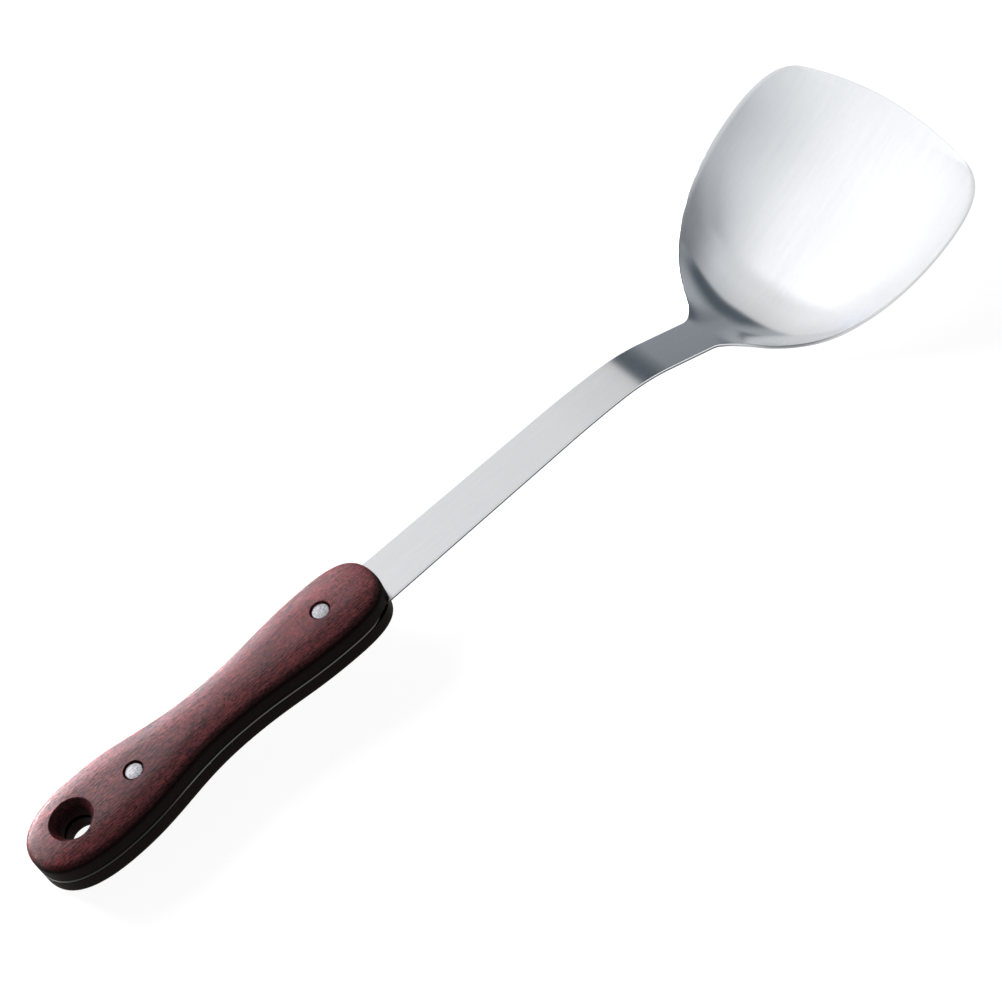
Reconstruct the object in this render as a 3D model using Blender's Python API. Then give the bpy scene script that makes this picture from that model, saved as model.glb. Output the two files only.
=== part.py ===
"""Cooking spatula with a dished steel blade and a riveted wooden handle.

The blade, the cranked neck, the tapered shank and the full tang are one pressed piece of sheet.
Two wooden scales sandwich the tang, and two cutler's rivets hold them. Each rivet is a solid post
pushed into a tubular socket. A flared hole near the tail hangs the spatula up.

Lengths are in metres, +X runs from the tail to the blade's edge and +Z is up. The pieces are drawn
along the straight handle, with the tail's end at X = 0 and the middle of the tang at Z = 0. The
rest_pose empty then lays them down as they lie on a table, on the tail and on the blade's heel.
"""
import math

import bmesh
import bpy
from mathutils import Vector
from mathutils.geometry import interpolate_bezier

# Fits
GAP = 0.0003
OVERRUN = 0.002

# Lengths along the spatula, from the tail to the blade's edge
HANDLE_LENGTH = 0.1397
SHANK_LENGTH = 0.1018
NECK_LENGTH = 0.0365
BLADE_LENGTH = 0.0987

# Sheet steel and how sharply it is bent
SHEET = 0.0012
DROOP_RADIUS = 0.318
DROOP_ANGLE = math.radians(-4.5)
BEND_RADIUS = 0.068
NECK_ANGLE = math.radians(-20.7)
DISH_RADIUS = 0.031
FLOOR_ANGLE = math.radians(26.9)
HEEL_RIM_RADIUS = 0.015
HEEL_RIM_ANGLE = math.radians(9)
SIDE_RIM_RADIUS = 0.060
SIDE_RIM_ANGLE = math.radians(20)

# Half widths of the sheet, seen from above
SHANK_BACK_HALF = 0.0092
NECK_HALF = 0.0081
BLADE_HALF = 0.0523
HEEL_ANGLE = math.radians(63)
CORNER_ANGLE = math.radians(-78)

# Handle
BULGE_HALF = 0.0159
WAIST_HALF = 0.0102
FRONT_BULGE_HALF = 0.0133
SCALE_THICKNESS = 0.0073
UPPER_EDGE_RADIUS = 0.0030
LOWER_EDGE_RADIUS = 0.0024
CROWN_ANGLE = math.radians(10)

# Hanging hole
HOLE_FROM_TAIL = 0.0173
HOLE_OFFSET = 0.0012
HOLE_RADIUS = 0.0056
MOUTH_RADIUS = 0.0078
MOUTH_DEPTH = 0.0025

# Rivets
POST_RADIUS = 0.0013
SOCKET_WALL = 0.0007
SOCKET_FLOOR = 0.0008
HEAD_RADIUS = 0.0030
HEAD_THICKNESS = 0.0012
HEAD_DOME = 0.0005
HEAD_SINK = 0.0002
COUNTERBORE_RADIUS = 0.0036

# Places along the handle, as shares of its length
BULGE_SHARE = 0.183
WAIST_SHARE = 0.530
FRONT_BULGE_SHARE = 0.8556
SHOULDER_SHARE = 0.9517
REAR_RIVET_SHARE = 0.2963
FRONT_RIVET_SHARE = 0.8475

# Places along the blade, as shares of its length, and along the shank
HEEL_RIM_SHARE = 0.025
SIDE_RIM_SHARE = 0.200
HEEL_SHARE = 0.107
DISH_SHARE = 0.1216
WIDEST_SHARE = 0.709
CORNER_SHARE = 0.958
DROOP_SHARE = 0.7541

# Widths on the blade and the handle, as shares of their half widths
HEEL_WIDTH_SHARE = 0.368
CORNER_WIDTH_SHARE = 0.725
CROWN_REACH_SHARE = 0.88
WALL_POWER = 2.6

# How far each curve leans towards its tangents, as shares of the way to where they cross
TAIL_REACH_SHARES = (0.68, 0.64)
WAIST_REACH_SHARES = (0.40, 0.42)
GRIP_REACH_SHARES = (0.42, 0.45)
FRONT_REACH_SHARES = (0.70, 0.76)
SHOULDER_REACH_SHARES = (0.80, 0.50)
FILLET_REACH_SHARES = (0.68, 0.66)
SIDE_REACH_SHARES = (0.65, 0.61)
CORNER_REACH_SHARES = (0.54, 0.83)

# Facets
OUTLINE_STEPS = 12
CORNER_STEPS = 8
EDGE_SEGMENTS = 4
CROWN_STEPS = 3
TURN_STEPS = 28
DOME_STEPS = 4
COLUMNS = 20
BEND_ROWS = 12
SIDE_ROWS = 14
CORNER_ROWS = 7

BEND_FROM = HANDLE_LENGTH + SHANK_LENGTH
DROOP_FROM = HANDLE_LENGTH + SHANK_LENGTH * DROOP_SHARE
BLADE_FROM = BEND_FROM + NECK_LENGTH
BLADE_END = BLADE_FROM + BLADE_LENGTH
RIVET_XS = {"rear": HANDLE_LENGTH * REAR_RIVET_SHARE, "front": HANDLE_LENGTH * FRONT_RIVET_SHARE}

HALF_SHEET = SHEET / 2
SEAM = HALF_SHEET + GAP
CROWN_TOP = SEAM + SCALE_THICKNESS
SOCKET_BORE = POST_RADIUS + GAP
SOCKET_RADIUS = SOCKET_BORE + SOCKET_WALL
RIVET_HOLE_RADIUS = SOCKET_RADIUS + GAP
HEAD_TOP = CROWN_TOP - HEAD_SINK
HEAD_RIM = HEAD_TOP - HEAD_DOME
HEAD_SEAT = HEAD_RIM - HEAD_THICKNESS
COUNTERBORE_FLOOR = HEAD_SEAT - GAP

CENTRE_BENDS = (
    (DROOP_FROM, DROOP_RADIUS, DROOP_ANGLE),
    (BEND_FROM, BEND_RADIUS, NECK_ANGLE),
    (BLADE_FROM + BLADE_LENGTH * DISH_SHARE, DISH_RADIUS, FLOOR_ANGLE),
)
RIM_BENDS = CENTRE_BENDS[:2] + (
    (BLADE_FROM + BLADE_LENGTH * HEEL_RIM_SHARE, HEEL_RIM_RADIUS, HEEL_RIM_ANGLE),
    (BLADE_FROM + BLADE_LENGTH * SIDE_RIM_SHARE, SIDE_RIM_RADIUS, SIDE_RIM_ANGLE),
)


def clear_scene():
    for obj in list(bpy.context.scene.objects):
        bpy.data.objects.remove(obj, do_unlink=True)


def make_material(name, colour, roughness, metallic):
    material = bpy.data.materials.new(name)
    material.use_nodes = True
    material.diffuse_color = (*colour, 1)
    shader = material.node_tree.nodes["Principled BSDF"]
    shader.inputs["Base Color"].default_value = (*colour, 1)
    shader.inputs["Roughness"].default_value = roughness
    shader.inputs["Metallic"].default_value = metallic
    return material


def make_object(name, bm, material=None):
    """Turn a bmesh into a named object under the rest pose."""
    bmesh.ops.recalc_face_normals(bm, faces=bm.faces[:])
    mesh = bpy.data.meshes.new(name)
    bm.to_mesh(mesh)
    bm.free()
    obj = bpy.data.objects.new(name, mesh)
    bpy.context.scene.collection.objects.link(obj)
    obj.parent = bpy.data.objects["rest_pose"]
    if material:
        mesh.materials.append(material)
    return obj


def heading(angle):
    return Vector((math.cos(angle), math.sin(angle), 0))


def curve(start, start_way, end, end_way, reach_shares, steps):
    """Points of a smooth curve between two places, leaving and arriving along two headings."""
    across = start_way.x * end_way.y - start_way.y * end_way.x
    gap = end - start
    if abs(across) > math.sin(math.radians(5)):
        out = (gap.x * end_way.y - gap.y * end_way.x) / across
        back = (gap.y * start_way.x - gap.x * start_way.y) / across
    else:
        out = back = gap.length
    first = start + start_way * out * reach_shares[0]
    last = end - end_way * back * reach_shares[1]
    return interpolate_bezier(start, first, last, end, steps + 1)


def tang_side():
    """One side of the handle's outline, from the tail's end to the widest place in front."""
    ahead, sideways = heading(0), heading(math.pi / 2)
    bulge = Vector((HANDLE_LENGTH * BULGE_SHARE, BULGE_HALF, 0))
    waist = Vector((HANDLE_LENGTH * WAIST_SHARE, WAIST_HALF, 0))
    front = Vector((HANDLE_LENGTH * FRONT_BULGE_SHARE, FRONT_BULGE_HALF, 0))
    points = curve(Vector(), sideways, bulge, ahead, TAIL_REACH_SHARES, OUTLINE_STEPS)
    points += curve(bulge, ahead, waist, ahead, WAIST_REACH_SHARES, OUTLINE_STEPS)[1:]
    points += curve(waist, ahead, front, ahead, GRIP_REACH_SHARES, OUTLINE_STEPS)[1:]
    return points


def handle_side():
    """One side of the handle's outline, from the tail's end to the middle of the front end."""
    points = tang_side()
    end = Vector((HANDLE_LENGTH, 0, 0))
    return points + curve(points[-1], heading(0), end, heading(-math.pi / 2),
                          FRONT_REACH_SHARES, OUTLINE_STEPS)[1:]


def shank_half(x):
    """Half the width of the tapered shank."""
    start = HANDLE_LENGTH * SHOULDER_SHARE
    run = min(max((x - start) / (BEND_FROM - start), 0), 1)
    return SHANK_BACK_HALF + (NECK_HALF - SHANK_BACK_HALF) * run


def height_along(x, bends):
    """Height at x of a line that starts level and takes each bend in turn."""
    at_x = at_z = angle = 0
    for start, radius, end_angle in bends:
        if x <= start:
            break
        at_z += (start - at_x) * math.tan(angle)
        turn = math.copysign(1, end_angle - angle)
        span = radius * abs(math.sin(end_angle) - math.sin(angle))
        reach = min(x - start, span)
        now = math.asin(math.sin(angle) + turn * reach / radius)
        at_z += turn * radius * (math.cos(angle) - math.cos(now))
        at_x, angle = start + reach, now
        if reach < span:
            return at_z
    return at_z + (x - at_x) * math.tan(angle)


def sheet_height(x, side_share):
    """Height of the sheet's middle, where side_share is 0 on the centre line and 1 at the rim."""
    centre = height_along(x, CENTRE_BENDS)
    rise = max(height_along(x, RIM_BENDS) - centre, 0)
    return centre + rise * abs(side_share) ** WALL_POWER


def blade_point(length_share, width_share):
    return Vector((BLADE_FROM + BLADE_LENGTH * length_share, BLADE_HALF * width_share, 0))


def blade_side():
    """The blade's outline from the neck round the heel and the side to the front corner."""
    neck = Vector((BLADE_FROM, NECK_HALF, 0))
    heel = blade_point(HEEL_SHARE, HEEL_WIDTH_SHARE)
    widest = blade_point(WIDEST_SHARE, 1)
    corner = blade_point(CORNER_SHARE, CORNER_WIDTH_SHARE)
    ahead, splayed, inward = heading(0), heading(HEEL_ANGLE), heading(CORNER_ANGLE)
    points = curve(neck, ahead, heel, splayed, FILLET_REACH_SHARES, CORNER_STEPS // 2)
    points += curve(heel, splayed, widest, ahead, SIDE_REACH_SHARES, SIDE_ROWS)[1:]
    points += curve(widest, ahead, corner, inward, CORNER_REACH_SHARES, CORNER_ROWS)[1:]
    return points


def sheet_row(bm, end, bulge):
    """A row of vertices across the sheet, ending at the outline, with its middle pushed forward."""
    row = []
    for column in range(COLUMNS + 1):
        side_share = 2 * column / COLUMNS - 1
        x = end.x + bulge * (1 - side_share ** 2)
        row.append(bm.verts.new((x, end.y * side_share, sheet_height(x, side_share))))
    return row


def make_blade_and_tang(material):
    """The pressed piece: a flat tang and shank, then the bent neck and the dished blade."""
    bm = bmesh.new()
    shank_start = Vector((HANDLE_LENGTH * SHOULDER_SHARE, SHANK_BACK_HALF, 0))
    side = tang_side()
    side += curve(side[-1], heading(0), shank_start, heading(-math.pi / 2),
                  SHOULDER_REACH_SHARES, CORNER_STEPS)[1:]
    droop_start = Vector((DROOP_FROM, shank_half(DROOP_FROM), 0))
    rows = [sheet_row(bm, droop_start, 0)]
    tail = bm.verts.new(side[0])
    right = [bm.verts.new((point.x, -point.y, 0)) for point in side[1:]]
    left = [bm.verts.new(point) for point in side[1:]]
    bm.faces.new([tail] + right + rows[0] + left[::-1])
    bent_length = BLADE_FROM - DROOP_FROM
    for step in range(1, BEND_ROWS):
        x = DROOP_FROM + bent_length * step / BEND_ROWS
        rows.append(sheet_row(bm, Vector((x, shank_half(x), 0)), 0))
    outline = blade_side()
    for number, end in enumerate(outline):
        bulge = (BLADE_END - outline[-1].x) * (number / (len(outline) - 1)) ** 3
        rows.append(sheet_row(bm, end, bulge))
    for back, front in zip(rows, rows[1:]):
        for column in range(COLUMNS):
            bm.faces.new((back[column], front[column], front[column + 1], back[column + 1]))
    obj = make_object("blade_and_tang", bm, material)
    wall = obj.modifiers.new("sheet thickness", "SOLIDIFY")
    wall.thickness = SHEET
    wall.offset = 0
    wall.use_even_offset = True
    return obj


def towards_spine(point, inset):
    """A point of the outline moved in towards the line along the handle's middle."""
    spine_x = min(max(point.x, BULGE_HALF), HANDLE_LENGTH - FRONT_BULGE_HALF)
    return point + (Vector((spine_x, 0, 0)) - point).normalized() * inset


def scale_levels(edge_radius):
    """How far in and how high each ring of a scale is, from the seam to the top of the crown."""
    round_angle = math.pi / 2 - CROWN_ANGLE
    crown_inset = edge_radius * (1 - math.cos(round_angle))
    crown_width = WAIST_HALF * CROWN_REACH_SHARE - crown_inset
    crown_foot = CROWN_TOP - crown_width * math.tan(CROWN_ANGLE) / 2
    levels = [(0, SEAM)]
    for step in range(EDGE_SEGMENTS + 1):
        angle = round_angle * step / EDGE_SEGMENTS
        levels.append((edge_radius * (1 - math.cos(angle)),
                       crown_foot - edge_radius * (math.sin(round_angle) - math.sin(angle))))
    for step in range(1, CROWN_STEPS + 1):
        run = step / CROWN_STEPS
        rise = crown_width * math.tan(CROWN_ANGLE) * (run - run ** 2 / 2)
        levels.append((crown_inset + crown_width * run, crown_foot + rise))
    return levels


def make_scale(name, up, edge_radius, material):
    """A wooden scale: the handle's outline raised from the tang, rounded over and crowned."""
    bm = bmesh.new()
    side = handle_side()
    outline = side + [Vector((point.x, -point.y, 0)) for point in side[-2:0:-1]]
    rings = []
    for inset, height in scale_levels(edge_radius):
        points = [towards_spine(point, inset) for point in outline]
        ring = [bm.verts.new((point.x, point.y, height if up else -height)) for point in points]
        rings.append([bm.edges.new(pair) for pair in zip(ring, ring[1:] + ring[:1])])
    for lower, upper in zip(rings, rings[1:]):
        bmesh.ops.bridge_loops(bm, edges=lower + upper)
    for cap in (rings[0], rings[-1]):
        bmesh.ops.contextual_create(bm, geom=cap)
    return make_object(name, bm, material)


def make_turned(name, profile, x, y, material=None):
    """A turned piece: a profile of (radius, height) pairs spun about an upright axis."""
    bm = bmesh.new()
    verts = [bm.verts.new((radius, 0, height)) for radius, height in profile]
    edges = [bm.edges.new(pair) for pair in zip(verts, verts[1:])]
    bmesh.ops.spin(bm, geom=verts + edges, cent=(0, 0, 0), axis=(0, 0, 1), dvec=(0, 0, 0),
                   angle=2 * math.pi, steps=TURN_STEPS, use_merge=True)
    bmesh.ops.remove_doubles(bm, verts=bm.verts[:], dist=GAP / TURN_STEPS)
    obj = make_object(name, bm, material)
    obj.location = (x, y, 0)
    return obj


def make_cutter(name, profile, x, y):
    cutter = make_turned(name, profile, x, y)
    cutter.hide_render = True
    cutter.display_type = "WIRE"
    return cutter


def both_ends(upper):
    """A closed profile through the handle, from its upper half given from the middle out."""
    lower = [(radius, -height) for radius, height in upper[::-1]]
    return lower + upper


def make_hole_cutters():
    """One cutter for the flared hanging hole and one for each counterbored rivet hole."""
    flare = (MOUTH_RADIUS - HOLE_RADIUS) / MOUTH_DEPTH
    past = CROWN_TOP + OVERRUN
    hanging = [(HOLE_RADIUS, CROWN_TOP - MOUTH_DEPTH), (MOUTH_RADIUS + OVERRUN * flare, past),
               (0, past)]
    cutters = [make_cutter("hanging_hole_cutter", both_ends(hanging),
                           HOLE_FROM_TAIL, HOLE_OFFSET)]
    rivet = [(RIVET_HOLE_RADIUS, COUNTERBORE_FLOOR), (COUNTERBORE_RADIUS, COUNTERBORE_FLOOR),
             (COUNTERBORE_RADIUS, past), (0, past)]
    for place, x in RIVET_XS.items():
        cutters.append(make_cutter(place + "_rivet_hole_cutter", both_ends(rivet), x, 0))
    return cutters


def cut(obj, cutters):
    for cutter in cutters:
        hole = obj.modifiers.new(cutter.name, "BOOLEAN")
        hole.operation = "DIFFERENCE"
        hole.solver = "EXACT"
        hole.object = cutter


def head_profile():
    """The rivet head from its seat on the scale to the middle of its dome."""
    points = [(HEAD_RADIUS, HEAD_SEAT), (HEAD_RADIUS, HEAD_RIM)]
    for step in range(1, DOME_STEPS + 1):
        angle = math.pi / 2 * step / DOME_STEPS
        points.append((HEAD_RADIUS * math.cos(angle), HEAD_RIM + HEAD_DOME * math.sin(angle)))
    points[-1] = (0, HEAD_TOP)
    return points


def make_rivet(place, x, material):
    """A cutler's rivet: the upper half is a headed post, the lower half a headed tube."""
    head = head_profile()
    socket_floor = -HEAD_SEAT + SOCKET_FLOOR
    post = [(0, socket_floor + GAP), (POST_RADIUS, socket_floor + GAP), (POST_RADIUS, HEAD_SEAT)]
    make_turned(place + "_rivet_post", post + head, x, 0, material)
    socket = [(radius, -height) for radius, height in head[::-1]]
    socket += [(SOCKET_RADIUS, -HEAD_SEAT), (SOCKET_RADIUS, HEAD_SEAT - GAP)]
    socket += [(SOCKET_BORE, HEAD_SEAT - GAP), (SOCKET_BORE, socket_floor), (0, socket_floor)]
    make_turned(place + "_rivet_socket", socket, x, 0, material)


def drawn_points():
    """Every vertex of the finished pieces, in the frame that they are drawn in."""
    graph = bpy.context.evaluated_depsgraph_get()
    points = []
    for obj in bpy.context.scene.objects:
        if obj.type == "MESH" and not obj.hide_render:
            mesh = obj.evaluated_get(graph).to_mesh()
            points += [obj.matrix_world @ vertex.co for vertex in mesh.vertices]
    return points


def lay_down(empty):
    """Lay the spatula on a table, touching at the tail and at the heel, over the middle of X."""
    points = drawn_points()
    tail_points = [point for point in points if point.x < HANDLE_LENGTH]
    heel_points = [point for point in points if point.x > BLADE_FROM]
    slope = 0
    for _ in range(6):
        tail = min(tail_points, key=lambda point: point.z - slope * point.x)
        heel = min(heel_points, key=lambda point: point.z - slope * point.x)
        slope = (heel.z - tail.z) / (heel.x - tail.x)
    empty.rotation_euler.y = math.atan(slope)
    bpy.context.view_layer.update()
    turned = [empty.matrix_world @ point for point in points]
    length = [point.x for point in turned]
    width = [point.y for point in turned]
    empty.location = (-(min(length) + max(length)) / 2, -(min(width) + max(width)) / 2,
                      -min(point.z for point in turned))


def build():
    clear_scene()
    rest_pose = bpy.data.objects.new("rest_pose", None)
    bpy.context.scene.collection.objects.link(rest_pose)
    steel = make_material("satin_steel", (0.62, 0.64, 0.66), 0.32, 1.0)
    upper_wood = make_material("upper_rosewood", (0.19, 0.055, 0.045), 0.42, 0.0)
    lower_wood = make_material("lower_rosewood", (0.16, 0.045, 0.038), 0.42, 0.0)
    rivet_metal = make_material("rivet_metal", (0.80, 0.80, 0.81), 0.22, 1.0)
    cutters = make_hole_cutters()
    cut(make_blade_and_tang(steel), cutters)
    cut(make_scale("upper_scale", True, UPPER_EDGE_RADIUS, upper_wood), cutters)
    cut(make_scale("lower_scale", False, LOWER_EDGE_RADIUS, lower_wood), cutters)
    for place, x in RIVET_XS.items():
        make_rivet(place, x, rivet_metal)
    lay_down(rest_pose)


build()
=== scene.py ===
import math

import bmesh
import bpy
from mathutils import Matrix, Vector
from mathutils.bvhtree import BVHTree
from mathutils.geometry import interpolate_bezier


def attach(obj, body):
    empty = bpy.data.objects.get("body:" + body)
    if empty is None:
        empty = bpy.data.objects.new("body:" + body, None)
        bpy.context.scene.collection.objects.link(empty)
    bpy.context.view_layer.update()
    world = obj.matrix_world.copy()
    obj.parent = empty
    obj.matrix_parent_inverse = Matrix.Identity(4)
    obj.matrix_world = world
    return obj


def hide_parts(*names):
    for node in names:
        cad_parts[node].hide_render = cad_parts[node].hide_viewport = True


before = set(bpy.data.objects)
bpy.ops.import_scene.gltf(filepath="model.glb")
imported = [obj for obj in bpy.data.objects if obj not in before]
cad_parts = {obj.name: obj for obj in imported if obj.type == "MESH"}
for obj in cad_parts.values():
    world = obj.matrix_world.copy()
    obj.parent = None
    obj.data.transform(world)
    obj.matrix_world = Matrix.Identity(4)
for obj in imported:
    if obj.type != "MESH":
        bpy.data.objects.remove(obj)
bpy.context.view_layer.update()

# Every piece is drawn along the straight handle, in metres, with the tail's end at X = 0 and the
# middle of the steel at Z = 0. LAID_DOWN then puts it where the CAD lies: on its tail and heel.
REST_ANGLE = math.radians(-2.12228)
REST_PLACE = (-0.18797924, 0, 0.00789199)
LAID_DOWN = Matrix.Translation(REST_PLACE) @ Matrix.Rotation(REST_ANGLE, 4, "Y")

# Room left between pieces that lie against each other
GAP = 0.0003

# Lengths along the spatula
HANDLE_LENGTH = 0.1397
SHANK_LENGTH = 0.1018
NECK_LENGTH = 0.0365
BLADE_LENGTH = 0.0987
BEND_FROM = HANDLE_LENGTH + SHANK_LENGTH
DROOP_FROM = HANDLE_LENGTH + SHANK_LENGTH * 0.7541
BLADE_FROM = BEND_FROM + NECK_LENGTH
BLADE_END = BLADE_FROM + BLADE_LENGTH

# Sheet steel: (where a bend starts, its radius, the angle it ends at)
SHEET = 0.0012
SHEET_EDGE = 0.00022
CENTRE_BENDS = (
    (DROOP_FROM, 0.318, math.radians(-4.5)),
    (BEND_FROM, 0.068, math.radians(-20.7)),
    (BLADE_FROM + BLADE_LENGTH * 0.1216, 0.031, math.radians(26.9)),
)
RIM_BENDS = CENTRE_BENDS[:2] + (
    (BLADE_FROM + BLADE_LENGTH * 0.025, 0.015, math.radians(9)),
    (BLADE_FROM + BLADE_LENGTH * 0.200, 0.060, math.radians(20)),
)
WALL_POWER = 2.6

# Half widths of the sheet. The tang's round tail is one face, as far as TAIL_HALF.
TAIL_HALF = 0.007
SHANK_BACK_HALF = 0.0092
NECK_HALF = 0.0081
BLADE_HALF = 0.0523

# Handle: where its outline is widest, narrowest and wide again, and how wide
BULGE_X = HANDLE_LENGTH * 0.183
WAIST_X = HANDLE_LENGTH * 0.530
FRONT_BULGE_X = HANDLE_LENGTH * 0.8556
BULGE_HALF = 0.0159
WAIST_HALF = 0.0102
FRONT_BULGE_HALF = 0.0133

# Wooden scales, from their side inwards: a rounded edge, a crown that rises more and more
# gently, and a flat top from CROWN_REACH on
SCALE_THICKNESS = 0.0073
UPPER_EDGE_RADIUS = 0.0030
LOWER_EDGE_RADIUS = 0.0024
EDGE_STEPS = 14
CROWN_ANGLE = math.radians(10)
CROWN_REACH = WAIST_HALF * 0.88
CROWN_STEPS = 12
SEAM = SHEET / 2 + GAP
CROWN_TOP = SEAM + SCALE_THICKNESS

# Hanging hole
HOLE_X = 0.0173
HOLE_Y = 0.0012
HOLE_RADIUS = 0.0056
MOUTH_RADIUS = 0.0078
MOUTH_DEPTH = 0.0025
MOUTH_ROUNDING = 0.0005

# Rivets
RIVET_XS = {"rear": HANDLE_LENGTH * 0.2963, "front": HANDLE_LENGTH * 0.8475}
POST_RADIUS = 0.0013
SOCKET_BORE = POST_RADIUS + GAP
SOCKET_RADIUS = SOCKET_BORE + 0.0007
SOCKET_FLOOR = 0.0008
HEAD_RADIUS = 0.0030
HEAD_TOP = CROWN_TOP - 0.0002
HEAD_RIM = HEAD_TOP - 0.0005
HEAD_SEAT = HEAD_RIM - 0.0012
COUNTERBORE_RADIUS = 0.0036

# Fineness of the meshes, and the distance below which two points are one
SHEET_COLUMNS = 48
CUTTER_STEPS = 96
RIVET_STEPS = 80
SAME_POINT = 0.000002

# The least angle of an edge that stays sharp, and of two headings that can meet
SHARP_ANGLE = math.radians(38)
NEARLY_PARALLEL = math.sin(math.radians(5))

# Studio, in metres: the floor's half width, and the round screen that stands on it
FLOOR_HALF = 6
SCREEN_RADIUS = 4
SCREEN_FOOT = -0.05


def heading(angle):
    """A way to go, turned from straight ahead towards the left side."""
    return Vector((math.cos(angle), math.sin(angle), 0))


AHEAD, SIDEWAYS = heading(0), heading(math.pi / 2)


def curve(start, start_way, end, end_way, reach_shares, steps):
    """Points of a smooth curve between two places, leaving and arriving along two headings.

    The reach shares say how long it keeps to each heading, as parts of the way to where the two
    headings meet, or of the whole gap where they are nearly parallel.
    """
    turning = start_way.x * end_way.y - start_way.y * end_way.x
    gap = end - start
    if abs(turning) > NEARLY_PARALLEL:
        out = (gap.x * end_way.y - gap.y * end_way.x) / turning
        back = (gap.y * start_way.x - gap.x * start_way.y) / turning
    else:
        out = back = gap.length
    first = start + start_way * out * reach_shares[0]
    last = end - end_way * back * reach_shares[1]
    return interpolate_bezier(start, first, last, end, steps + 1)


def straight_side(start, end, steps):
    """A straight stretch of outline, without its first point."""
    return [start.lerp(end, step / steps) for step in range(1, steps + 1)]


def tang_side(steps):
    """One side of the handle's outline, from the tail's end to the widest place in front."""
    bulge = Vector((BULGE_X, BULGE_HALF, 0))
    waist = Vector((WAIST_X, WAIST_HALF, 0))
    front = Vector((FRONT_BULGE_X, FRONT_BULGE_HALF, 0))
    points = curve(Vector(), SIDEWAYS, bulge, AHEAD, (0.68, 0.64), steps)
    points += curve(bulge, AHEAD, waist, AHEAD, (0.40, 0.42), steps)[1:]
    return points + curve(waist, AHEAD, front, AHEAD, (0.42, 0.45), steps)[1:]


def handle_side(steps):
    """One side of the handle's outline, from the tail's end to the middle of the front end."""
    points = tang_side(steps)
    end = Vector((HANDLE_LENGTH, 0, 0))
    return points + curve(points[-1], AHEAD, end, -SIDEWAYS, (0.70, 0.76), steps)[1:]


def blade_point(length_share, width_share):
    """A place on the blade's outline, in shares of its length and of its half width."""
    return Vector((BLADE_FROM + BLADE_LENGTH * length_share, BLADE_HALF * width_share, 0))


def blade_side():
    """The blade's outline from the neck round the heel and the side to the front corner."""
    neck = Vector((BLADE_FROM, NECK_HALF, 0))
    heel = blade_point(0.107, 0.368)
    widest = blade_point(0.709, 1)
    corner = blade_point(0.958, 0.725)
    splayed, inward = heading(math.radians(63)), heading(math.radians(-78))
    points = curve(neck, AHEAD, heel, splayed, (0.68, 0.66), steps=20)
    points += curve(heel, splayed, widest, AHEAD, (0.65, 0.61), steps=56)[1:]
    return points + curve(widest, AHEAD, corner, inward, (0.54, 0.83), steps=28)[1:]


def sheet_side():
    """One side of the sheet: its round tail, the rest, and the number of the blade's start."""
    tang = tang_side(steps=36)
    tail = [point for point in tang if point.y < TAIL_HALF]
    side = tang[len(tail):]
    shank_back = Vector((HANDLE_LENGTH * 0.9517, SHANK_BACK_HALF, 0))
    neck_back = Vector((BEND_FROM, NECK_HALF, 0))
    neck_front = Vector((BLADE_FROM, NECK_HALF, 0))
    side += curve(side[-1], AHEAD, shank_back, -SIDEWAYS, (0.80, 0.50), steps=16)[1:]
    side += straight_side(shank_back, neck_back, steps=80)
    side += straight_side(neck_back, neck_front, steps=36)
    return tail, side + blade_side()[1:], len(side) - 1


def height_along(x, bends):
    """Height at x of a line that starts level and takes each bend in turn."""
    at_x = at_z = angle = 0
    for start, radius, end_angle in bends:
        if x <= start:
            break
        at_z += (start - at_x) * math.tan(angle)
        turn = math.copysign(1, end_angle - angle)
        span = radius * abs(math.sin(end_angle) - math.sin(angle))
        reach = min(x - start, span)
        now = math.asin(math.sin(angle) + turn * reach / radius)
        at_z += turn * radius * (math.cos(angle) - math.cos(now))
        at_x, angle = start + reach, now
        if reach < span:
            return at_z
    return at_z + (x - at_x) * math.tan(angle)


def sheet_height(x, side_share):
    """Height of the sheet's middle, where side_share is 0 on the centre line and 1 at the rim."""
    centre = height_along(x, CENTRE_BENDS)
    rise = max(height_along(x, RIM_BENDS) - centre, 0)
    return centre + rise * abs(side_share) ** WALL_POWER


def new_object(name, bm):
    """An object in the scene made of a bmesh, which is used up."""
    mesh = bpy.data.meshes.new(name)
    bm.to_mesh(mesh)
    bm.free()
    made = bpy.data.objects.new(name, mesh)
    bpy.context.scene.collection.objects.link(made)
    return made


def shade(mesh):
    """Shade a mesh smooth but for its sharp edges."""
    shaded = bmesh.new()
    shaded.from_mesh(mesh)
    for face in shaded.faces:
        face.smooth = True
    for edge in shaded.edges:
        edge.smooth = len(edge.link_faces) == 2 and edge.calc_face_angle(0) < SHARP_ANGLE
    shaded.to_mesh(mesh)
    shaded.free()


def finish_piece(name, bm, finish, *nodes, modifiers=(), cutters=()):
    """Make a piece that stands for the CAD nodes: cut, laid down, smooth but for its edges."""
    piece = new_object(name, bm)
    for kind, settings in modifiers:
        modifier = piece.modifiers.new(kind.lower(), kind)
        for setting, value in settings.items():
            setattr(modifier, setting, value)
    for cutter in cutters:
        hole = piece.modifiers.new(cutter.name, "BOOLEAN")
        hole.operation, hole.solver, hole.object = "DIFFERENCE", "EXACT", cutter
    bpy.context.view_layer.update()
    made = bpy.data.meshes.new_from_object(
        piece.evaluated_get(bpy.context.evaluated_depsgraph_get()))
    piece.modifiers.clear()
    uncut, piece.data = piece.data, made
    bpy.data.meshes.remove(uncut)
    made.name = name
    made.transform(LAID_DOWN)
    made.materials.clear()
    made.materials.append(finish)
    shade(made)
    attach(piece, "root")
    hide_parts(*nodes)
    return piece


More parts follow.
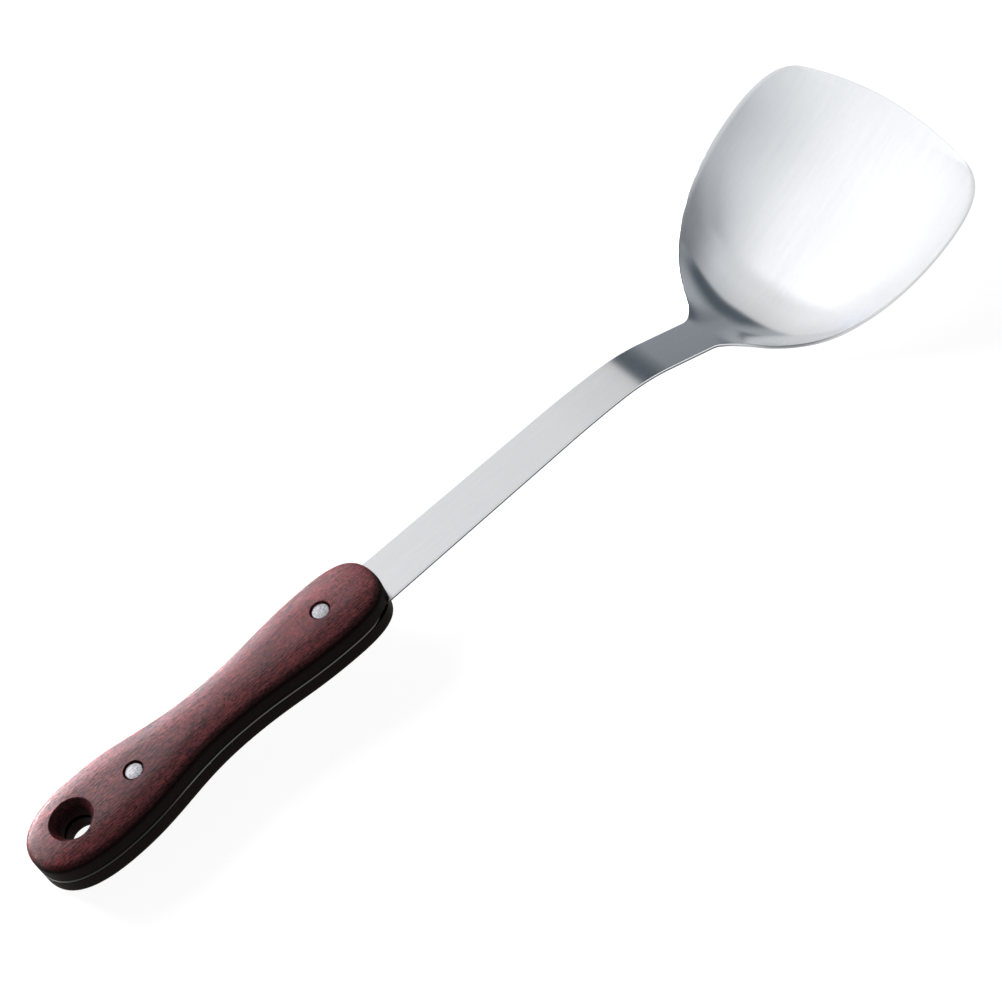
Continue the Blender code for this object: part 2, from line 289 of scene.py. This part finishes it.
def turned(profile, x, y, steps):
    """A bmesh of a profile of (radius, height) pairs spun about an upright axis."""
    bm = bmesh.new()
    verts = [bm.verts.new((radius, 0, height)) for radius, height in profile]
    edges = [bm.edges.new(pair) for pair in zip(verts, verts[1:])]
    bmesh.ops.spin(bm, geom=verts + edges, cent=(0, 0, 0), axis=(0, 0, 1), dvec=(0, 0, 0),
                   angle=2 * math.pi, steps=steps, use_merge=True)
    bmesh.ops.remove_doubles(bm, verts=bm.verts[:], dist=SAME_POINT)
    bmesh.ops.translate(bm, verts=bm.verts[:], vec=(x, y, 0))
    bmesh.ops.recalc_face_normals(bm, faces=bm.faces[:])
    return bm


def make_cutter(name, upper_profile, x, y):
    """A tool that cuts the same shape from both faces, given from the middle out."""
    lower_profile = [(radius, -height) for radius, height in upper_profile[::-1]]
    return new_object(name, turned(lower_profile + upper_profile, x, y, CUTTER_STEPS))


def make_cutters():
    """The flared hanging hole and the two counterbored rivet holes."""
    beyond = 0.002
    top = CROWN_TOP + beyond
    flare = (MOUTH_RADIUS - HOLE_RADIUS) / MOUTH_DEPTH
    foot = CROWN_TOP - MOUTH_DEPTH
    hanging = [(HOLE_RADIUS, foot - MOUTH_ROUNDING)]
    hanging += [(HOLE_RADIUS + flare * MOUTH_ROUNDING * share ** 2,
                 foot + MOUTH_ROUNDING * (2 * share - 1)) for share in (0.25, 0.5, 0.75, 1)]
    hanging += [(MOUTH_RADIUS + flare * beyond, top), (0, top)]
    cutters = [make_cutter("hanging_hole_cutter", hanging, HOLE_X, HOLE_Y)]
    rivet = [(SOCKET_RADIUS + GAP, HEAD_SEAT - GAP), (COUNTERBORE_RADIUS, HEAD_SEAT - GAP),
             (COUNTERBORE_RADIUS, top), (0, top)]
    return cutters + [make_cutter(place + "_rivet_cutter", rivet, x, 0)
                      for place, x in RIVET_XS.items()]


def sheet_grid(side, first_of_blade):
    """A bmesh of the sheet's middle in front of the tail, and its rearmost row of points.

    The rows are straight across, and bow forward more and more along the blade to its front edge.
    """
    last = len(side) - 1
    bow = BLADE_END - side[-1].x
    bm = bmesh.new()
    bmesh.ops.create_grid(bm, x_segments=last, y_segments=SHEET_COLUMNS, size=1)
    back_row = []
    for vert in bm.verts:
        number = round((vert.co.x + 1) / 2 * last)
        side_share = vert.co.y
        run = max(number - first_of_blade, 0) / (last - first_of_blade)
        end = side[number]
        x = end.x + bow * run ** 3 * (1 - side_share ** 2)
        vert.co = (x, end.y * side_share, sheet_height(x, side_share))
        if number == 0:
            back_row.append(vert)
    return bm, sorted(back_row, key=lambda vert: vert.co.y)


def close_tail(bm, back_row, tail):
    """Add the tang's round tail behind the grid as one flat face, and turn all faces up."""
    left = [bm.verts.new(point) for point in tail[::-1]]
    right = [bm.verts.new((point.x, -point.y, 0)) for point in tail[1:]]
    round_tail = [back_row[-1]] + left + right + [back_row[0]]
    edges = [bm.edges.new(pair) for pair in zip(round_tail, round_tail[1:])]
    edges += [edge for edge in bm.edges if all(vert in back_row for vert in edge.verts)]
    bmesh.ops.contextual_create(bm, geom=edges)
    bmesh.ops.recalc_face_normals(bm, faces=bm.faces[:])
    bm.faces.ensure_lookup_table()
    if bm.faces[0].normal.z < 0:
        bmesh.ops.reverse_faces(bm, faces=bm.faces[:])


def mark_depth(sheet, middle):
    """Note each point's place in the sheet's thickness: 0 is its underside and 1 its top."""
    depth = sheet.data.attributes.new("depth", "FLOAT", "POINT")
    drawn = LAID_DOWN.inverted()
    for vert, value in zip(sheet.data.vertices, depth.data):
        point = drawn @ vert.co
        nearest, normal = middle.find_nearest(point)[:2]
        value.value = (point - nearest).dot(normal) / SHEET + 0.5


def make_sheet(cutters, finish):
    """The pressed steel: tang, shank, neck and dished blade, from one grid laid along them."""
    tail, side, first_of_blade = sheet_side()
    bm, back_row = sheet_grid(side, first_of_blade)
    close_tail(bm, back_row, tail)
    wall = ("SOLIDIFY", {"thickness": SHEET, "offset": 0, "use_even_offset": True})
    edge = ("BEVEL", {"width": SHEET_EDGE, "segments": 3, "angle_limit": math.radians(60)})
    middle = BVHTree.FromBMesh(bm)
    sheet = finish_piece("steel_sheet", bm, finish, "blade_and_tang",
                         modifiers=(wall, edge), cutters=cutters)
    mark_depth(sheet, middle)
    return sheet


def scale_levels(edge_radius):
    """How far in and how high each ring of a scale is, from the seam to the top of the crown."""
    round_angle = math.pi / 2 - CROWN_ANGLE
    crown_inset = edge_radius * (1 - math.cos(round_angle))
    crown_width = CROWN_REACH - crown_inset
    crown_foot = CROWN_TOP - crown_width * math.tan(CROWN_ANGLE) / 2
    levels = [(0, SEAM)]
    for step in range(EDGE_STEPS + 1):
        angle = round_angle * step / EDGE_STEPS
        levels.append((edge_radius * (1 - math.cos(angle)),
                       crown_foot - edge_radius * (math.sin(round_angle) - math.sin(angle))))
    for step in range(1, CROWN_STEPS + 1):
        run = step / CROWN_STEPS
        rise = crown_width * math.tan(CROWN_ANGLE) * (run - run ** 2 / 2)
        levels.append((crown_inset + crown_width * run, crown_foot + rise))
    return levels


def make_scale(name, up, edge_radius, cutters, finish, node):
    """A wooden scale: the handle's outline drawn up ring by ring, rounded over and crowned."""
    bm = bmesh.new()
    side = handle_side(steps=40)
    outline = side + [Vector((point.x, -point.y, 0)) for point in side[-2:0:-1]]
    spine = [Vector((min(max(point.x, BULGE_HALF), HANDLE_LENGTH - FRONT_BULGE_HALF), 0, 0))
             for point in outline]
    ring = [bm.verts.new(point) for point in outline]
    edges = [bm.edges.new(pair) for pair in zip(ring, ring[1:] + ring[:1])]
    bottom = edges
    for number, (inset, height) in enumerate(scale_levels(edge_radius)):
        if number:
            new = bmesh.ops.extrude_edge_only(bm, edges=edges)["geom"]
            edges = [part for part in new if isinstance(part, bmesh.types.BMEdge)]
            above = {vert.co.copy().freeze(): vert for vert in new
                     if isinstance(vert, bmesh.types.BMVert)}
            ring = [above[vert.co.copy().freeze()] for vert in ring]
        for vert, point, middle in zip(ring, outline, spine):
            vert.co = point + (middle - point).normalized() * inset
            vert.co.z = height if up else -height
    for cap in (bottom, edges):
        bmesh.ops.contextual_create(bm, geom=cap)
    bmesh.ops.recalc_face_normals(bm, faces=bm.faces[:])
    return finish_piece(name, bm, finish, node, cutters=cutters)


def head_profile():
    """A rivet head from its seat to the middle of its dome, with a softened rim."""
    soft, soft_angle, soft_steps, dome_steps = 0.00035, math.radians(72), 6, 12
    points = [(HEAD_RADIUS, HEAD_SEAT)]
    for step in range(soft_steps + 1):
        angle = soft_angle * step / soft_steps
        points.append((HEAD_RADIUS - soft * (1 - math.cos(angle)),
                       HEAD_RIM - soft * 0.4 + soft * math.sin(angle)))
    radius, height = points[-1]
    for step in range(1, dome_steps + 1):
        share = 1 - step / dome_steps
        points.append((radius * share, HEAD_TOP - (HEAD_TOP - height) * share ** 2))
    return points


def make_rivet(place, x, finish):
    """A cutler's rivet: the upper half is a headed post, the lower half a headed tube."""
    head = head_profile()
    floor = -HEAD_SEAT + SOCKET_FLOOR
    post = [(0, floor + GAP), (POST_RADIUS, floor + GAP), (POST_RADIUS, HEAD_SEAT)]
    finish_piece(place + "_rivet_upper_half", turned(post + head, x, 0, RIVET_STEPS), finish,
                 place + "_rivet_post")
    tube = [(radius, -height) for radius, height in head[::-1]]
    tube += [(SOCKET_RADIUS, -HEAD_SEAT), (SOCKET_RADIUS, HEAD_SEAT - GAP),
             (SOCKET_BORE, HEAD_SEAT - GAP), (SOCKET_BORE, floor), (0, floor)]
    finish_piece(place + "_rivet_lower_half", turned(tube, x, 0, RIVET_STEPS), finish,
                 place + "_rivet_socket")


class Wire:
    """A value on its way through a material. Sums and products add the nodes that work them out."""

    def __init__(self, socket):
        self.socket = socket

    def node(self, kind, inputs, output=0, **settings):
        """Add a node: its settings first, then a number or a wire for each socket."""
        tree = self.socket.id_data
        made = tree.nodes.new("ShaderNode" + kind)
        for setting, value in settings.items():
            setattr(made, setting, value)
        for name, value in inputs.items():
            if isinstance(value, Wire):
                tree.links.new(value.socket, made.inputs[name])
            else:
                made.inputs[name].default_value = value
        return Wire(made.outputs[output])

    def maths(self, operation, first, second):
        return self.node("Math", {0: first, 1: second}, operation=operation)

    def __add__(self, other):
        return self.maths("ADD", self, other)

    def __sub__(self, other):
        return self.maths("SUBTRACT", self, other)

    def __mul__(self, other):
        return self.maths("MULTIPLY", self, other)

    def __truediv__(self, other):
        return self.maths("DIVIDE", self, other)

    def __pow__(self, other):
        return self.maths("POWER", self, other)

    def __rsub__(self, other):
        return self.maths("SUBTRACT", other, self)

    def __abs__(self):
        return self.maths("ABSOLUTE", self, 0)

    __radd__ = __add__
    __rmul__ = __mul__

    def least(self, other):
        return self.maths("MINIMUM", self, other)

    def most(self, other):
        return self.maths("MAXIMUM", self, other)

    def ease(self, low, high):
        """0 below low and 1 above high, turning smoothly between them."""
        return self.node("MapRange", {"Value": self, "From Min": low, "From Max": high},
                         interpolation_type="SMOOTHSTEP")

    def band(self, start, full, fade, end):
        """1 from full to fade, and 0 before start and after end."""
        return self.ease(start, full) * (1 - self.ease(fade, end))

    def mix(self, first, second):
        """The first colour where this is 0 and the second where it is 1."""
        factor, one_colour, other_colour, mixed = 0, 6, 7, 2
        return self.node("Mix", {factor: self, one_colour: first, other_colour: second},
                         output=mixed, data_type="RGBA")

    def moved(self, by):
        return self.node("VectorMath", {0: self, 1: by}, operation="ADD")

    def stretched(self, by):
        return self.node("VectorMath", {0: self, 1: by}, operation="MULTIPLY")

    def direction(self):
        return self.node("VectorMath", {0: self}, operation="NORMALIZE")

    def length(self):
        return self.node("VectorMath", {0: self}, output="Value", operation="LENGTH")

    def parts(self):
        """The three parts of a vector: along or east, across or north, and up."""
        split = self.node("SeparateXYZ", {"Vector": self}).socket.node
        return [Wire(part) for part in split.outputs]

    def noise(self, waves, detail, roughness):
        """Cloudy noise with about so many waves in a metre along, across and up."""
        drawn_out = self.stretched(waves)
        return drawn_out.node("TexNoise", {"Vector": drawn_out, "Scale": 1.0, "Detail": detail,
                                           "Roughness": roughness})


def rgb(red, green, blue):
    return (red, green, blue, 1)


def new_finish(name, **plain):
    """A material with its Principled shader's plain values set."""
    material = bpy.data.materials.new(name)
    material.use_nodes = True
    shader = material.node_tree.nodes["Principled BSDF"]
    for socket, value in plain.items():
        shader.inputs[socket.replace("_", " ")].default_value = value
    return material, shader


def wear(shader, socket, value):
    """Lead a wire into one of the shader's sockets."""
    value.socket.id_data.links.new(value.socket, shader.inputs[socket])


def drawn_place(material):
    """Where a point is on the spatula as drawn, along the handle, across it and up."""
    tree = material.node_tree
    place = Wire(tree.nodes.new("ShaderNodeTexCoord").outputs["Object"])
    return place.node("Mapping", {"Vector": place, "Location": REST_PLACE,
                                  "Rotation": (0, REST_ANGLE, 0)}, vector_type="TEXTURE")


def from_hole(place):
    """How far a place is from the middle of the hanging hole."""
    return place.moved((-HOLE_X, -HOLE_Y, 0)).length()


def leaned(place, slope):
    """The way that the surface faces, leaned across the spatula by a slope."""
    facing = place.node("NewGeometry", {}, output="Normal")
    return facing.moved(place.node("CombineXYZ", {"Y": slope})).direction()


def sheet_colour(along, depth, tone):
    """Brushed faces, and the lower half of the sheared edge painted dark on shank and neck, a
    painted shade; on the blade that half is only a little darker than the faces.
    """
    colour = tone.mix(rgb(0.73, 0.745, 0.76), rgb(0.78, 0.79, 0.80))
    blade = along.ease(BLADE_FROM - 0.002, BLADE_FROM + 0.012)
    lower_edge_shade = blade.mix(rgb(0.075, 0.085, 0.095), rgb(0.62, 0.63, 0.64))
    # Painted shade: the lower half of the edge, dark on shank and neck.
    shaded_lower_edge = depth.band(0.02, 0.08, 0.52, 0.66)
    return shaded_lower_edge.mix(colour, lower_edge_shade)


def tang_shade_and_highlight(along, up, bore):
    """The tang's edge between the scales, painted black as shade, with one painted highlight line
    along it, which ends just behind the handle's front.

    The highlight is faint at the tail, and grows clearer, lower and broader towards the waist. In
    the hanging hole the tang is painted black without it.
    """
    off = up + 0.0001 + along.ease(0.045, 0.065) * 0.0003
    off = abs(off) - along.ease(0.045, 0.060) * 0.00012
    # Painted highlight: a pale line along the black tang's edge, kept out of the hanging hole.
    highlight_line = (1 - off.ease(0.0001, 0.0004)) * (1 - bore)
    highlight_line = highlight_line * (0.2 + along.ease(0.040, 0.055) * 0.8)
    highlight_line = highlight_line * (1 - along.ease(HANDLE_LENGTH - 0.014, HANDLE_LENGTH - 0.006))
    return highlight_line.mix(rgb(0.004, 0.004, 0.004), rgb(0.090, 0.085, 0.085))


def dish_slope(along, across, depth):
    """The slope that the front of the blade seems to have as a dish, on both of its faces."""
    front = along.ease(BLADE_FROM + BLADE_LENGTH * 0.5, BLADE_FROM + BLADE_LENGTH * 0.78)
    facing_up = depth.ease(0.3, 0.7) * 2 - 1
    slope_per_metre = -1.8
    return across * front * facing_up * slope_per_metre


def make_steel():
    """Satin stainless sheet, brushed along its length, with a dull sheared edge. The lower half of
    the edge is painted dark as shade on shank and neck, and inside the handle the tang is painted
    black as shade with a painted highlight line.
    """
    material, shader = new_finish("satin_steel", Specular_IOR_Level=0.0)
    place = drawn_place(material)
    along, across, up = place.parts()
    depth = place.node("Attribute", {}, output="Fac", attribute_name="depth")
    strokes = place.noise((120, 3000, 1200), 3.0, 0.6)
    broad = place.noise((10, 420, 120), 3.0, 0.55)
    clouds = place.noise((26, 26, 26), 3.0, 0.5)
    tone = (strokes * 0.45 + broad * 0.25 + clouds * 0.3).ease(0.3, 0.7)
    tang = 1 - along.ease(HANDLE_LENGTH - 0.003, HANDLE_LENGTH)
    bore = 1 - from_hole(place).ease(HOLE_RADIUS + 0.001, HOLE_RADIUS + 0.002)
    # Inside the handle the tang is painted black as shade with a painted highlight line; in the
    # hanging hole it is painted black and is not metal.
    colour = tang.mix(sheet_colour(along, depth, tone), tang_shade_and_highlight(along, up, bore))
    wear(shader, "Base Color", colour)
    wear(shader, "Metallic", 1 - bore)
    rim = depth.band(0.01, 0.1, 0.9, 0.99)
    wear(shader, "Roughness", 0.11 + strokes * 0.05 + clouds * 0.02 + rim * 0.2)
    dished = leaned(place, dish_slope(along, across, depth))
    bump = place.node("Bump", {"Strength": 0.10, "Distance": 0.00002, "Normal": dished,
                               "Height": strokes * 0.8 + broad * 0.5})
    wear(shader, "Normal", bump)
    return material


def grain_colour(place, fibres, pores):
    """Dark and red fibres in turn, with brighter streaks and black pores among them."""
    sway = place.noise((14, 60, 60), 2.0, 0.5)
    patches = place.noise((60, 150, 150), 3.0, 0.6)
    red = (patches * 0.2 + fibres * 0.8 + (sway - 0.5) * 0.2).ease(0.38, 0.62)
    colour = red.mix(rgb(0.026, 0.007, 0.010), rgb(0.295, 0.056, 0.063))
    streaks = place.noise((260, 2100, 2100), 2.0, 0.5).ease(0.56, 0.70)
    colour = (streaks * 0.5).mix(colour, rgb(0.42, 0.092, 0.062))
    return (pores * 0.92).mix(colour, rgb(0.014, 0.006, 0.007))


def handle_half(along):
    """The handle's half width, eased between the tail's bulge, the waist and the front bulge."""
    half = BULGE_HALF - along.ease(BULGE_X, WAIST_X) * (BULGE_HALF - WAIST_HALF)
    return half + along.ease(WAIST_X, FRONT_BULGE_X) * (FRONT_BULGE_HALF - WAIST_HALF)


def crown_slope(along, across, half):
    """How much more the crown seems to slope than it is drawn, away from the handle's ends."""
    crown_inset = 0.0025
    off = abs(across)
    drawn = ((off - half + CROWN_REACH) / (CROWN_REACH - crown_inset)).most(0).least(1)
    wanted = (off / (half - crown_inset)).least(1) * 1.3
    side = across / (off + 0.0001)
    between_ends = along.band(0.004, 0.020, HANDLE_LENGTH - 0.020, HANDLE_LENGTH - 0.004)
    return side * (wanted - drawn) * CROWN_ANGLE * between_ends


def make_wood():
    """Red-brown hardwood with short dark pores along the grain and a satin oil finish.

    The open face is 1 on the upper and lower faces, fades out over their rounded edges, reaching
    further down them on the left, and is weak in the hanging hole. It has the grain's full colour
    and the gloss. Elsewhere the colour is painted shade: the sides, the right rounded edge and the
    hanging hole's mouth are painted darker and have less gloss, the left side less dark than the
    right. Stout is 0 at the handle's waist and 1 at its widest, the tail's bulge. The right half
    of stout places has less gloss, and the crown seems fullest there.
    """
    material, shader = new_finish("oiled_rosewood", Specular_IOR_Level=0.04, Coat_IOR=1.38,
                                  Coat_Roughness=0.45)
    place = drawn_place(material)
    along, across, up = place.parts()
    fibres = place.noise((210, 2300, 2300), 4.0, 0.7)
    pores = place.noise((800, 3400, 3400), 2.0, 0.6).ease(0.50, 0.61)
    left = across.ease(-0.002, 0.002)
    face = (abs(up) + left * 0.0012).ease(0.0058, 0.0076)
    flat_place = place.stretched((1, 1, 0))
    outside_hole = from_hole(flat_place).ease(MOUTH_RADIUS - 0.0006, MOUTH_RADIUS + 0.0002)
    open_face = face * (0.3 + outside_hole * 0.7)
    grain = grain_colour(place, fibres, pores)
    # Painted shade: the sides are painted nearly black, the left one a little lighter, and the
    # hanging hole's mouth mostly so.
    side = (left * 0.3).mix(rgb(0.010, 0.004, 0.0035), grain)
    wear(shader, "Base Color", open_face.mix(side, grain))
    wear(shader, "Roughness", 0.55 + fibres * 0.1)
    half = handle_half(along)
    stout = (half - WAIST_HALF) / (BULGE_HALF - WAIST_HALF)
    edge_on = place.node("LayerWeight", {"Blend": 0.5}, output="Facing").ease(0.32, 0.58) * 0.90
    worn = (0 - across).ease(0.003, 0.010) * stout * 0.4
    wear(shader, "Coat Weight", open_face * (1 - pores * 0.55) * (1 - edge_on) * (1 - worn))
    fullness = 1.5 + stout * 0.9 - left * (0.7 + stout * 1.1)
    crowned = leaned(place, crown_slope(along, across, half) * fullness * open_face)
    bump = place.node("Bump", {"Strength": 0.25, "Distance": 0.00008, "Normal": crowned,
                               "Height": fibres * 0.5 - pores})
    wear(shader, "Normal", bump)
    return material


def make_rivet_metal():
    """Bright turned rivet heads with fine scratches."""
    material, shader = new_finish("rivet_metal", Metallic=1.0)
    scratches = drawn_place(material).noise((900, 2600, 900), 3.0, 0.6)
    tone = scratches.ease(0.35, 0.7)
    wear(shader, "Base Color", tone.mix(rgb(0.42, 0.41, 0.44), rgb(0.72, 0.71, 0.74)))
    wear(shader, "Roughness", 0.22 + scratches * 0.12)
    bump = scratches.node("Bump", {"Strength": 0.25, "Distance": 0.00004, "Height": scratches})
    wear(shader, "Normal", bump)
    return material


def shown_in_mirrors(tree):
    """1 for what the camera sees, straight or in metal or glass, and 0 for light on the object."""
    rays = tree.nodes.new("ShaderNodeLightPath").outputs
    seen = Wire(rays["Is Camera Ray"]).most(Wire(rays["Is Glossy Ray"]))
    return seen.most(Wire(rays["Is Transmission Ray"]))


def make_world():
    """White to look at, and dim in the light that it gives."""
    world = bpy.data.worlds.new("studio_world")
    world.use_nodes = True
    bpy.context.scene.world = world
    background = world.node_tree.nodes["Background"]
    background.inputs["Color"].default_value = rgb(1, 1, 1)
    given_light = 0.10
    strength = given_light + shown_in_mirrors(world.node_tree) * (1 - given_light)
    wear(background, "Strength", strength)


def link_stage(name, bm, material):
    """A piece of the studio, which isn't part of the spatula."""
    piece = new_object(name, bm)
    piece.data.materials.append(material)
    return piece


def make_floor():
    """A plain pale floor that looks white and keeps the spatula's shadow."""
    material, shader = new_finish("pale_floor", Base_Color=rgb(0.28, 0.28, 0.28), Roughness=0.9,
                                  Specular_IOR_Level=0.0, Emission_Strength=1.0)
    lift = shown_in_mirrors(material.node_tree) * 0.93
    wear(shader, "Emission Color", lift.mix(rgb(0, 0, 0), rgb(1, 1, 1)))
    bm = bmesh.new()
    bmesh.ops.create_grid(bm, x_segments=1, y_segments=1, size=FLOOR_HALF)
    link_stage("floor", bm, material)


def west_part(east, north):
    """The screen's brighter part: brightest in the north, and bluer in the south and far north."""
    level = 0.30 + north.ease(-0.1, 0.35) * 0.47 + north.ease(0.3, 1.0) * 0.34
    level = level * (1 - (east - 0.12).most(0) * 0.55)
    south_west = (1 - east.ease(-0.35, -0.15)) * (1 - north.ease(0.15, 0.38))
    level = level * (1 - south_west * 0.35)
    level = level * (1 - north.ease(0.80, 0.95) * 0.07)
    colour = north.ease(-0.1, 0.7).mix(rgb(0.95, 1.0, 1.05), rgb(1.0, 1.0, 1.01))
    colour = north.ease(0.90, 0.98).mix(colour, rgb(0.97, 0.99, 1.08))
    return colour.node("VectorMath", {0: colour, "Scale": level}, operation="SCALE")


def east_part(east, north):
    """The screen's dimmer part, with a dark strip where it begins."""
    colour = north.ease(-0.15, 0.15).mix(rgb(0.29, 0.31, 0.33), rgb(0.415, 0.44, 0.465))
    colour = north.ease(0.74, 0.92).mix(colour, rgb(0.60, 0.62, 0.64))
    strip = 1 - (east + (north - 0.56).most(0) * 1.6).ease(0.66, 0.83)
    strip = strip * north.band(-0.1, 0.15, 0.72, 0.86)
    return strip.mix(colour, rgb(0.085, 0.105, 0.125))


def make_screen():
    """The studio that metal and lacquer mirror: bright beyond the handle, dim behind the camera.

    East, north and up are the parts of the way from the spatula to a place on the screen. A dark
    upright strip stands in the east, a soft light shines from the north-west, and a bright window
    stands low in the north. Only mirrors see the screen, and it casts no shadow.
    """
    material = bpy.data.materials.new("studio_screen")
    material.use_nodes = True
    tree = material.node_tree
    tree.nodes.clear()
    place = Wire(tree.nodes.new("ShaderNodeTexCoord").outputs["Object"])
    east, north, up = place.direction().parts()
    in_east = (east + north.ease(0.5, 0.6) * 0.02).ease(0.495, 0.555)
    glow = (1 - east.ease(-0.35, 0.10)) ** 2 * east.ease(-0.75, -0.35) * north.ease(0.30, 0.78)
    window = east.band(-0.50, -0.20, -0.08, 0.06) * north.ease(0.5, 0.8)
    window = window * (1 - up.ease(0.06, 0.20))
    colour = in_east.mix(west_part(east, north), east_part(east, north))
    colour = window.mix(colour, rgb(0.98, 1.0, 1.05))
    strength = 1 + glow * 0.57 + window * 320
    light = tree.nodes.new("ShaderNodeEmission")
    out = tree.nodes.new("ShaderNodeOutputMaterial")
    wear(light, "Color", colour)
    wear(light, "Strength", strength)
    tree.links.new(light.outputs["Emission"], out.inputs["Surface"])
    bm = bmesh.new()
    bmesh.ops.create_uvsphere(bm, u_segments=96, v_segments=48, radius=SCREEN_RADIUS)
    below_foot = [vert for vert in bm.verts if vert.co.z < SCREEN_FOOT]
    bmesh.ops.delete(bm, geom=below_foot, context="VERTS")
    screen = link_stage("studio_screen", bm, material)
    screen.visible_camera = False
    screen.visible_diffuse = False
    screen.visible_shadow = False
    screen.visible_transmission = False


def make_lamp(name, place, size, power):
    """A soft square lamp that faces the spatula and isn't mirrored in it."""
    lamp = bpy.data.lights.new(name, "AREA")
    lamp.shape, lamp.size, lamp.energy = "SQUARE", size, power
    holder = bpy.data.objects.new(name, lamp)
    holder.location = place
    holder.rotation_euler = (-Vector(place)).to_track_quat("-Z", "Y").to_euler()
    holder.visible_glossy = False
    bpy.context.scene.collection.objects.link(holder)


def make_camera():
    """The photograph's view: from the tail's right side, about 49 degrees up."""
    lens = bpy.data.cameras.new("camera")
    lens.sensor_width = 36
    lens.lens = 90.62679
    lens.clip_start = 0.01
    camera = bpy.data.objects.new("camera", lens)
    camera.location = (-0.1947345, -0.5067471, 0.6336566)
    camera.rotation_euler = [math.radians(turn) for turn in (38.489721, 14.846552, -39.028961)]
    bpy.context.scene.collection.objects.link(camera)
    bpy.context.scene.camera = camera


def main():
    steel, wood, rivet_metal = make_steel(), make_wood(), make_rivet_metal()
    cutters = make_cutters()
    make_sheet(cutters, steel)
    make_scale("upper_wood_scale", True, UPPER_EDGE_RADIUS, cutters, wood,
                       "upper_scale")
    make_scale("lower_wood_scale", False, LOWER_EDGE_RADIUS, cutters, wood,
                       "lower_scale")
    for place, x in RIVET_XS.items():
        make_rivet(place, x, rivet_metal)
    for cutter in cutters:
        bpy.data.objects.remove(cutter, do_unlink=True)
    make_world()
    make_floor()
    make_screen()
    make_lamp("soft_key", place=(-0.35, 1.3, 0.50), size=0.8, power=38)
    make_camera()
    bpy.context.scene.view_settings.view_transform = "Standard"


main()
